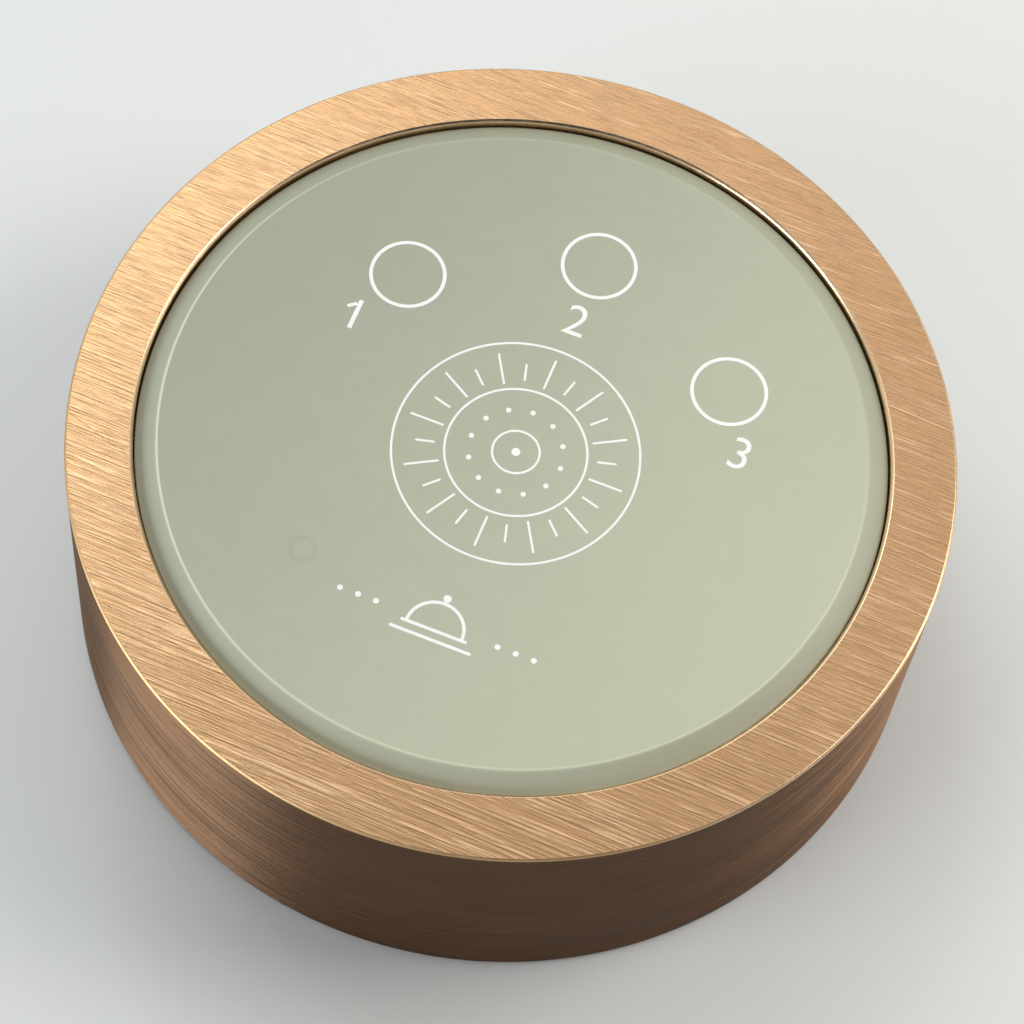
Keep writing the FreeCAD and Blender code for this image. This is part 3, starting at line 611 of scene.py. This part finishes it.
def satin_panel(settings):
    """Satin moulding: fine grain, faint mottle and one dried drop's outline, with a painted light
    drift across the panel, painted shade on the bevel and a painted highlight along the crease.
    """
    f = Finish("panel_satin")
    grain = f.noise(9000, rough=0.6)
    mottle = f.noise(420, detail=3.0, rough=0.55)
    cloud = f.noise(28, detail=1.0)
    shade = tuple(settings.body)

    # Painted light: the panel's colour drifts from darker towards -X and +Y to lighter towards +X and
    # -Y, standing in for the fall of light across it; cloud, mottle and grain add random tone on top.
    painted_light_drift = (f.axis("X") * 0.9 - f.axis("Y") * 0.45) * (1 / (76 * MM))
    tone = f.limits(painted_light_drift + cloud * 0.22 + mottle * 0.20 + grain * 0.12, -0.36, 0.79)
    base = f.mix(tone, tinted(shade, (0.77, 0.785, 0.78)), tinted(shade, 1.16))

    drop_radius = 1.25 * MM
    from_drop = (f.reach(-14.75 * MM, -19.6 * MM) - drop_radius).math("ABSOLUTE")
    drop = 1 - f.limits(from_drop, 0.05 * MM, 0.30 * MM)
    base = f.mix(drop * 0.28, base, tinted(shade, 0.75))

    # Painted shade: the bevel beyond the plateau is coloured darker than the plateau.
    bevel = f.limits(f.reach(), settings.plateau, settings.plateau + 0.5 * MM)
    base = f.mix(bevel * 0.32, base, tinted(shade, 0.62))

    # Painted highlight: a thin lighter line along the crease between plateau and bevel, strongest
    # towards -Y; the same band also lowers the roughness.
    from_crease = (f.reach() - settings.plateau).math("ABSOLUTE")
    crease_band = 1 - f.limits(from_crease, 0.05 * MM, 0.19 * MM)
    near_side = (f.axis("X") * -0.20 - f.axis("Y") * 0.98) * (1 / (36 * MM))
    painted_light_mask = crease_band * f.limits(near_side, -0.60, 0.60, 0.15, 0.88)
    base = f.mix(painted_light_mask, base, tinted(shade, 1.46))

    satin = f.limits(grain * 0.6 + mottle * 0.4, 0.3, 0.7, 0.36, 0.46)
    return f.shade({
        "Base Color": base,
        "Roughness": satin + drop * 0.12 - crease_band * 0.06,
        "Specular IOR Level": 0.5,
        "Normal": f.bump(grain * 0.7 + mottle * 0.3, 0.004),
    })


def printed_ink(settings):
    """Opaque screen ink with a slight orange peel."""
    f = Finish("print_white")
    peel = f.noise(5200)
    body = f.noise(900)
    shade = tuple(settings.ink)
    return f.shade({
        "Base Color": f.mix(f.limits(body, 0.3, 0.7), tinted(shade, 0.94), shade),
        "Roughness": f.limits(peel, 0.3, 0.7, 0.42, 0.56),
        "Normal": f.bump(peel, 0.003),
    })


def plastic(name, shade, rough, grain_scale=5200, depth=0.006, speck=0.08):
    """Moulded plastic or rubber: an even spark-eroded grain with a slow drift in tone."""
    f = Finish(name)
    grain = f.noise(grain_scale, detail=3.0, rough=0.6)
    drift = f.noise(60)
    flow = f.noise((30, 160, 30), turn=0.4)
    tone = f.limits(drift * 0.5 + flow * 0.3 + grain * 0.2, 0.35, 0.65)
    return f.shade({
        "Base Color": f.mix(tone, tinted(shade, 1 - speck), tinted(shade, 1 + speck)),
        "Roughness": f.limits(grain, 0.3, 0.7, rough - 0.05, rough + 0.06),
        "Normal": f.bump(grain, depth),
    })


def metal(name, shade, rough, stretch=(400, 400, 400)):
    """Plated or rolled metal: fine drawing marks along one way and dull spots."""
    f = Finish(name)
    marks = f.noise(stretch, detail=3.0, rough=0.6)
    spots = f.noise(700)
    tone = f.limits(marks * 0.6 + spots * 0.4, 0.35, 0.65)
    return f.shade({
        "Base Color": f.mix(tone, tinted(shade, 0.82), tinted(shade, 1.06)),
        "Metallic": 1.0,
        "Roughness": f.limits(spots, 0.3, 0.7, rough - 0.06, rough + 0.08),
        "Normal": f.bump(marks, 0.004),
    })


def circuit_board():
    """Solder mask over copper tracks: a dull green sheet with a lighter routed pattern."""
    f = Finish("board_green")
    cells = f.node(
        "TexVoronoi", {"distance": "MANHATTAN", "feature": "F1"},
        {"Vector": f.stretched((420, 420, 420)), "Scale": 1.0, "Randomness": 0.55},
    )
    steps = Value(f, cells.outputs["Distance"]).math("PINGPONG", 0.22)
    tracks = f.limits(steps, 0.03, 0.07)
    weave = f.noise(3600)
    bare = f.mix(weave, (0.012, 0.085, 0.04), (0.02, 0.115, 0.05))
    over_copper = (0.045, 0.20, 0.085)
    return f.shade({
        "Base Color": f.mix(tracks, over_copper, bare),
        "Roughness": f.limits(weave, 0.3, 0.7, 0.30, 0.42),
        "Normal": f.bump(tracks * -1.0 + weave * 0.2, 0.02),
    })


def cell_wrap():
    """Plain shrink sleeve of a dry cell: copper-coloured end bands on a black body."""
    f = Finish("cell_sleeve")
    band = f.limits(f.axis("X").math("ABSOLUTE"), 14.0 * MM, 14.3 * MM)
    crinkle = f.noise((200, 900, 900))
    black = f.mix(crinkle, (0.016, 0.016, 0.018), (0.03, 0.03, 0.033))
    copper = f.mix(crinkle, (0.50, 0.26, 0.11), (0.58, 0.31, 0.14))
    return f.shade({
        "Base Color": f.mix(band, black, copper),
        "Metallic": band * 0.85,
        "Roughness": f.limits(crinkle, 0.3, 0.7, 0.26, 0.36),
        "Normal": f.bump(crinkle, 0.01),
    })


def slot_finishes():
    """One finish for each material slot of the record that CAD nodes still show."""
    return {
        "black_silicone": plastic(
            "silicone_black", (0.020, 0.020, 0.021), rough=0.62, grain_scale=3800, depth=0.010
        ),
        "clear_adhesive": plastic(
            "adhesive_clear", (0.72, 0.74, 0.72), rough=0.18, grain_scale=900, depth=0.002
        ),
        "copper": metal("copper_pads", (0.78, 0.40, 0.25), rough=0.30, stretch=(300, 2400, 300)),
        "circuit_board": circuit_board(),
        "chip_resin": plastic(
            "chip_resin", (0.022, 0.022, 0.024), rough=0.48, grain_scale=9000, depth=0.005
        ),
        "white_plastic": plastic(
            "plastic_white", (0.80, 0.80, 0.77), rough=0.42, grain_scale=4200, depth=0.005, speck=0.03
        ),
        "led_lens": plastic(
            "lens_milky", (0.86, 0.86, 0.78), rough=0.20, grain_scale=2600, depth=0.002, speck=0.04
        ),
        "plated_steel": metal(
            "steel_plated", (0.66, 0.66, 0.64), rough=0.24, stretch=(250, 1800, 1800)
        ),
        "capacitor_resin": plastic(
            "capacitor_resin", (0.55, 0.33, 0.05), rough=0.40, depth=0.004
        ),
        "ceramic": plastic("ceramic", (0.45, 0.40, 0.33), rough=0.55, grain_scale=7600),
        "connector_plastic": plastic("connector_plastic", (0.03, 0.03, 0.032), rough=0.45),
        "black_plastic": plastic(
            "plastic_black", (0.032, 0.032, 0.034), rough=0.50, grain_scale=3600, depth=0.012
        ),
        "cell_case": cell_wrap(),
        "control_plastic": plastic(
            "plastic_control", (0.24, 0.24, 0.235), rough=0.42, grain_scale=4600, depth=0.008
        ),
        "foam": plastic(
            "foam_open", (0.06, 0.06, 0.062), rough=0.85, grain_scale=1500, depth=0.08, speck=0.25
        ),
    }


# Operators


class CALLBUTTON_OT_stage(bpy.types.Operator):
    """Sets up the camera, the floor, the lamps and the surroundings"""

    bl_idname = "callbutton.stage"
    bl_label = "Set the stage"

    def execute(self, context):
        settings = context.scene.call_button.stage
        top = context.scene.call_button.ring.top
        self.add_camera(context, settings, top)
        self.add_floor(settings)
        self.add_lamps()
        self.colour_world(context, settings)
        context.scene.view_settings.view_transform = "Standard"
        return {"FINISHED"}

    def add_camera(self, context, settings, top):
        """A camera round the middle of the top face, tilted, panned and rolled to its frame."""
        deselect()
        bpy.ops.object.camera_add()
        camera = bpy.context.object
        camera.name = "camera"
        heading = Matrix.Rotation(settings.heading, 3, "Z")
        rise = settings.elevation
        right = Vector((1, 0, 0))
        up = Vector((0, math.sin(rise), math.cos(rise)))
        back = Vector((0, -math.cos(rise), math.sin(rise)))
        level = Matrix((right, up, back))
        aim = Vector((settings.tilt, settings.pan, 0))
        aimed = Matrix.Rotation(aim.length, 3, aim.normalized()) @ level
        rolled = Matrix.Rotation(settings.roll, 3, "Z") @ aimed
        axes = heading @ rolled.transposed()
        place = heading @ (back * settings.distance) + Vector((0, 0, top))
        camera.matrix_world = Matrix.Translation(place) @ axes.to_4x4()
        camera.data.lens = settings.lens
        camera.data.sensor_width = 36.0
        camera.data.clip_start = 0.01
        camera.data.clip_end = 50.0
        context.scene.camera = camera

    def add_floor(self, settings):
        deselect()
        bpy.ops.mesh.primitive_plane_add(size=settings.floor_size)
        floor = named("floor")
        f = Finish("floor_pale")
        drift = f.noise(3.0, 2.0)
        shade = tuple(settings.floor)
        floor.data.materials.append(f.shade({
            "Base Color": f.mix(f.limits(drift, 0.3, 0.7), tinted(shade, 0.985), shade),
            "Roughness": 0.55,
            "Specular IOR Level": 0.3,
        }))

    def add_lamps(self):
        """Soft boxes at the back and the left, a small one on the right and one overhead."""
        self.soft_box(
            "lamp_back", azimuth=106.0, elevation=53.0, distance=1.20,
            width=0.62, height=0.62, radiance=0.84, shade=(1.0, 0.98, 0.95),
        )
        self.soft_box(
            "lamp_back_left", azimuth=140.0, elevation=44.0, distance=1.10,
            width=0.62, height=0.70, radiance=2.8, shade=(0.88, 1.0, 0.99),
        )
        self.soft_box(
            "lamp_left", azimuth=226.0, elevation=12.0, distance=1.00,
            width=0.66, height=0.38, radiance=9.5, shade=(0.90, 0.95, 1.0),
        )
        self.soft_box(
            "lamp_far_left", azimuth=152.0, elevation=3.0, distance=0.90,
            width=0.10, height=0.10, radiance=3.5, shade=(1.0, 1.0, 0.95),
        )
        self.soft_box(
            "lamp_side", azimuth=24.0, elevation=10.0, distance=0.90,
            width=0.24, height=0.18, radiance=4.6, shade=(1.0, 0.97, 0.88),
        )
        self.soft_box(
            "lamp_over", azimuth=28.0, elevation=48.0, distance=0.38,
            width=0.20, height=0.20, radiance=4.8, shade=(1.0, 0.97, 0.92),
        )

    def soft_box(self, name, azimuth, elevation, distance, width, height, radiance, shade):
        """A lamp that faces the origin: angles in degrees, lengths in metres."""
        deselect()
        bpy.ops.object.light_add(type="AREA")
        lamp = bpy.context.object
        lamp.name = name
        lamp.data.shape = "RECTANGLE"
        lamp.data.size = width
        lamp.data.size_y = height
        lamp.data.energy = radiance * math.pi * width * height
        lamp.data.color = shade
        a, e = math.radians(azimuth), math.radians(elevation)
        way = Vector((math.cos(e) * math.cos(a), math.cos(e) * math.sin(a), math.sin(e)))
        lamp.location = way * distance
        lamp.rotation_euler = way.to_track_quat("Z", "Y").to_euler()

    def colour_world(self, context, settings):
        """Surroundings: a bright band above the horizon and a glow from the upper back left."""
        world = context.scene.world or bpy.data.worlds.new("surroundings")
        context.scene.world = world
        w = Nodes(world)
        way = w.node("TexCoord").outputs["Generated"]
        glow = w.limits(self.toward(w, way, (-0.55, 0.65, 0.50)), -0.35, 0.9, 0.03, 0.52)
        band = w.limits(self.toward(w, way, (0.0, 0.0, 1.0)), 0.42, 0.56, 0.62, 0.0)
        background = w.node(
            "Background", {}, {"Color": (*settings.sky, 1.0), "Strength": glow + band}
        )
        w.node("OutputWorld", {}, {"Surface": background.outputs[0]})

    def toward(self, w, way, direction):
        """How far a way points in a direction, from -1 to 1."""
        made = w.node(
            "VectorMath", {"operation": "DOT_PRODUCT"}, {0: way, 1: Vector(direction).normalized()}
        )
        return Value(w, made.outputs["Value"])


class CALLBUTTON_OT_ring(bpy.types.Operator):
    """Turns the brass ring and gives each of its faces its own finish"""

    bl_idname = "callbutton.ring"
    bl_label = "Brass ring"

    def execute(self, context):
        s = context.scene.call_button.ring
        lip_height = s.top - s.lip
        outer, inner = s.radius - s.chamfer, s.opening + s.inner_chamfer
        outer_foot, inner_foot = s.top - s.chamfer_drop, s.top - s.inner_chamfer
        ring = turned("brass_ring", [
            (s.radius, s.bottom), (s.radius, outer_foot), (outer, s.top), (inner, s.top),
            (s.opening, inner_foot), (s.opening, lip_height), (s.bore, lip_height),
            (s.bore, s.seat), (s.rim, s.seat), (s.rim, s.bottom),
        ])
        for radius, height in (
            (s.radius, outer_foot), (outer, s.top), (inner, s.top), (s.opening, inner_foot)
        ):
            break_edge(ring, radius, height, s.softness, segments=2)
        break_edge(ring, s.radius, s.bottom, s.chamfer / 2, segments=2)
        bpy.ops.object.mode_set(mode="OBJECT")
        self.finish(ring, s)
        smooth(ring, degrees=35.0)
        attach(ring, "housing")
        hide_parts("housing_ring")
        return {"FINISHED"}

    def finish(self, ring, s):
        """Sorts the ring's faces by where they lie and which way they face."""
        for make in (brushed_face, turned_wall, polished_edge, machined_inside):
            ring.data.materials.append(make(s))
        brushed, wall, edge, inside = range(4)
        for face in ring.data.polygons:
            reach = math.hypot(face.center.x, face.center.y)
            upper = face.center.z > s.top - s.lip
            level = face.normal.z > 0.99
            upright = abs(face.normal.z) < 0.05
            if level and upper:
                face.material_index = brushed
            elif upright and reach > s.rim:
                face.material_index = wall
            elif upper and abs(reach - s.bore) > NEAR:
                face.material_index = edge
            else:
                face.material_index = inside


class CALLBUTTON_OT_panel(bpy.types.Operator):
    """Moulds the touch panel with its soft bevel"""

    bl_idname = "callbutton.panel"
    bl_label = "Touch panel"

    def execute(self, context):
        s = context.scene.call_button.panel
        edge = s.edge_height + s.edge_round / 2
        panel = turned("touch_disc", [
            (0, s.under), (s.skirt, s.under), (s.skirt, s.flange_bottom),
            (s.flange, s.flange_bottom), (s.flange, s.flange_top), (s.radius, s.flange_top),
            (s.radius, edge), (s.plateau, s.top), (0, s.top),
        ])
        break_edge(panel, s.plateau, s.top, s.crease, segments=5)
        break_edge(panel, s.radius, edge, s.edge_round, segments=4)
        bpy.ops.object.mode_set(mode="OBJECT")
        panel.data.materials.append(satin_panel(s))
        smooth(panel, degrees=35.0)
        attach(panel, "housing")
        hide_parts("touch_panel")
        return {"FINISHED"}


class CALLBUTTON_OT_marks(bpy.types.Operator):
    """Prints the dial, the option rings, their numbers and the bell on the panel"""

    bl_idname = "callbutton.marks"
    bl_label = "Printed marks"

    def execute(self, context):
        self.s = context.scene.call_button.marks
        self.z = context.scene.call_button.panel.top
        ink = printed_ink(self.s)
        for piece in (self.dial(), self.option_rings(), self.numbers(), self.bell()):
            piece.data.materials.clear()
            piece.data.materials.append(ink)
            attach(piece, "housing")
        return {"FINISHED"}

    def circle(self, x, y, radius, line):
        return flat_ring("circle", x, y, self.z, radius, line, self.s.thickness)

    def line(self, x, y, size, turn):
        return stroke("line", x, y, self.z, size, turn, self.s.thickness)

    def dot(self, x, y, radius):
        return spot("dot", x, y, self.z, radius, self.s.thickness)

    def dial(self):
        """An outer circle round a sunburst of long and short rays, dots and two small circles."""
        s = self.s
        x, y = s.dial
        thin, count = s.fine_line, s.ray_count
        parts = [
            self.circle(x, y, radius, thin)
            for radius in (s.dial_middle, s.dial_inner, s.dial_radius)
        ]
        long_ray = self.line(x + s.long_reach, y, (s.long_ray, thin), 0.0)
        parts += round_copies(long_ray, count, x, y)
        turn = FULL_TURN / (2 * count)
        short_ray = self.line(
            x + s.short_reach * math.cos(turn), y + s.short_reach * math.sin(turn),
            (s.short_ray, thin), turn,
        )
        parts += round_copies(short_ray, count, x, y)
        parts += round_copies(self.dot(x + s.dot_reach, y, s.dot_radius), count, x, y)
        parts.append(self.dot(x, y, s.centre_dot))
        return joined("dial_print", parts)

    def option_rings(self):
        s = self.s
        return joined("option_prints", [
            self.circle(x, y, s.ring_radius, s.bold_line)
            for x, y in (s.option_1, s.option_2, s.option_3)
        ])

    def numbers(self):
        """The numbers 1 to 3; a short flag stroke is added to the 1."""
        s = self.s
        made = [
            self.digit(body, x, y)
            for body, (x, y) in (("1", s.number_1), ("2", s.number_2), ("3", s.number_3))
        ]
        x, y = s.number_1
        flag_x, flag_y, flag_length = -0.70 * MM, 1.12 * MM, 1.1 * MM
        flag = self.line(x + flag_x, y + flag_y, (flag_length, s.bold_line), math.radians(38))
        return joined("number_prints", [*made, flag])

    def digit(self, body, x, y):
        s = self.s
        thinned = -0.004
        deselect()
        bpy.ops.object.text_add(location=(0, 0, 0))
        text = bpy.context.object
        text.data.body = body
        text.data.size = s.digit_height
        text.data.align_x = "CENTER"
        text.data.align_y = "CENTER"
        text.data.offset = thinned * s.digit_height
        bpy.ops.object.convert(target="MESH")
        text = named("digit_" + body)
        text.location = (x, y, self.z)
        settle(text)
        bpy.ops.object.mode_set(mode="EDIT")
        bpy.ops.mesh.select_all(action="SELECT")
        bpy.ops.mesh.remove_doubles(threshold=MERGED)
        raise_print(text, s.thickness)
        return text

    def bell(self):
        """A line-drawn counter bell on a two-line foot, between two rows of three dots."""
        s = self.s
        x, y = s.bell
        bold = s.bell_line
        foot_length, base_length, base_drop = 7.0 * MM, 8.6 * MM, 1.2 * MM
        knob_rise, knob_radius = 3.5 * MM, 0.42 * MM
        row_start, row_step, row_rise, row_dot = 6.4 * MM, 1.9 * MM, 0.6 * MM, 0.30 * MM
        parts = [
            flat_ring("dome", x, y, self.z, s.bell_radius, bold, s.thickness, upper_half=True),
            self.line(x, y - bold / 2, (foot_length, bold), 0.0),
            self.line(x, y - base_drop, (base_length, bold), 0.0),
            self.dot(x, y + knob_rise, knob_radius),
        ]
        for side in (-1, 1):
            for i in range(3):
                parts.append(self.dot(x + side * (row_start + row_step * i), y + row_rise, row_dot))
        return joined("bell_print", parts)


class CALLBUTTON_OT_screws(bpy.types.Operator):
    """Makes the four cross-head screws of the base plate"""

    bl_idname = "callbutton.screws"
    bl_label = "Base screws"

    def execute(self, context):
        s = context.scene.call_button.underside
        turn = math.radians(45)
        x, y = s.screw_reach * math.cos(turn), s.screw_reach * math.sin(turn)
        screw = turned("screw", [
            (0, s.head_bottom), (s.head_radius, s.head_bottom), (s.head_radius, s.head_top),
            (s.shank_radius, s.head_top), (s.shank_radius, s.shank_top - s.shank_radius),
            (0, s.shank_top),
        ])
        break_edge(screw, s.head_radius, s.head_bottom, s.head_round, segments=3)
        bpy.ops.object.mode_set(mode="OBJECT")
        screw = self.recessed(screw, s)
        screw.location = (x, y, 0)
        settle(screw)
        screws = joined("plate_screws", round_copies(screw, s.screw_count, 0, 0))
        screws.data.materials.append(
            metal("steel_screws", (0.62, 0.61, 0.58), rough=0.26, stretch=(900, 900, 300))
        )
        smooth(screws, degrees=30.0)
        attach(screws, "housing")
        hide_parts("base_screws")
        return {"FINISHED"}

    def recessed(self, screw, s):
        """Cuts the cross into the head with two tapered blades."""
        blade_size = (s.recess_length, s.recess_width, 2 * s.recess_depth)
        taper = (0.45, 0.6, 1)
        blades = []
        for turn in (0.0, math.pi / 2):
            deselect()
            bpy.ops.mesh.primitive_cube_add(size=1, location=(0, 0, s.head_bottom))
            blade = named("blade")
            bpy.ops.object.mode_set(mode="EDIT")
            bpy.ops.transform.resize(value=blade_size)
            bpy.ops.mesh.select_mode(type="FACE")
            pick(blade, lambda face: face.normal.z > 0.5, "faces")
            bpy.ops.transform.resize(value=taper)
            bpy.ops.object.mode_set(mode="OBJECT")
            blade.rotation_euler.z = turn
            blades.append(settle(blade))
        for blade in blades:
            only(screw)
            cut = screw.modifiers.new("recess", "BOOLEAN")
            cut.object = blade
            cut.operation = "DIFFERENCE"
            cut.solver = "EXACT"
            bpy.ops.object.modifier_apply(modifier=cut.name)
            bpy.data.objects.remove(blade)
        return screw


class CALLBUTTON_OT_finishes(bpy.types.Operator):
    """Gives every CAD node that stays in view the finish of its material slot"""

    bl_idname = "callbutton.finishes"
    bl_label = "Finishes"

    def execute(self, context):
        finishes = slot_finishes()
        for part in frame["record"]["subparts"]:
            finish = finishes.get(part["material_slot"])
            node = frame["nodes"][part["node"]]
            if finish is None:
                continue
            for slot in node.material_slots:
                slot.material = finish
        return {"FINISHED"}


class CALLBUTTON_PT_tools(bpy.types.Panel):
    """Lists the call button's pieces"""

    bl_idname = "CALLBUTTON_PT_tools"
    bl_label = "Call button"
    bl_space_type = "VIEW_3D"
    bl_region_type = "UI"
    bl_category = "Call button"

    def draw(self, context):
        for operator in OPERATORS:
            self.layout.operator(operator.bl_idname)
        settings = context.scene.call_button
        for group in (settings.ring, settings.panel, settings.marks, settings.underside,
                      settings.stage):
            box = self.layout.box()
            for key in group.bl_rna.properties.keys():
                if key not in ("rna_type", "name"):
                    box.prop(group, key)


OPERATORS = (
    CALLBUTTON_OT_stage,
    CALLBUTTON_OT_finishes,
    CALLBUTTON_OT_ring,
    CALLBUTTON_OT_panel,
    CALLBUTTON_OT_marks,
    CALLBUTTON_OT_screws,
)
CLASSES = (
    RingSettings, PanelSettings, PrintSettings, UndersideSettings, StageSettings,
    CallButtonSettings, *OPERATORS, CALLBUTTON_PT_tools,
)


def register():
    for cls in CLASSES:
        bpy.utils.register_class(cls)
    bpy.types.Scene.call_button = PointerProperty(type=CallButtonSettings)


def unregister():
    del bpy.types.Scene.call_button
    for cls in reversed(CLASSES):
        bpy.utils.unregister_class(cls)


def main():
    register()
    bpy.ops.callbutton.stage()
    bpy.ops.callbutton.finishes()
    bpy.ops.callbutton.ring()
    bpy.ops.callbutton.panel()
    bpy.ops.callbutton.marks()
    bpy.ops.callbutton.screws()


if __name__ == "__main__":
    main()
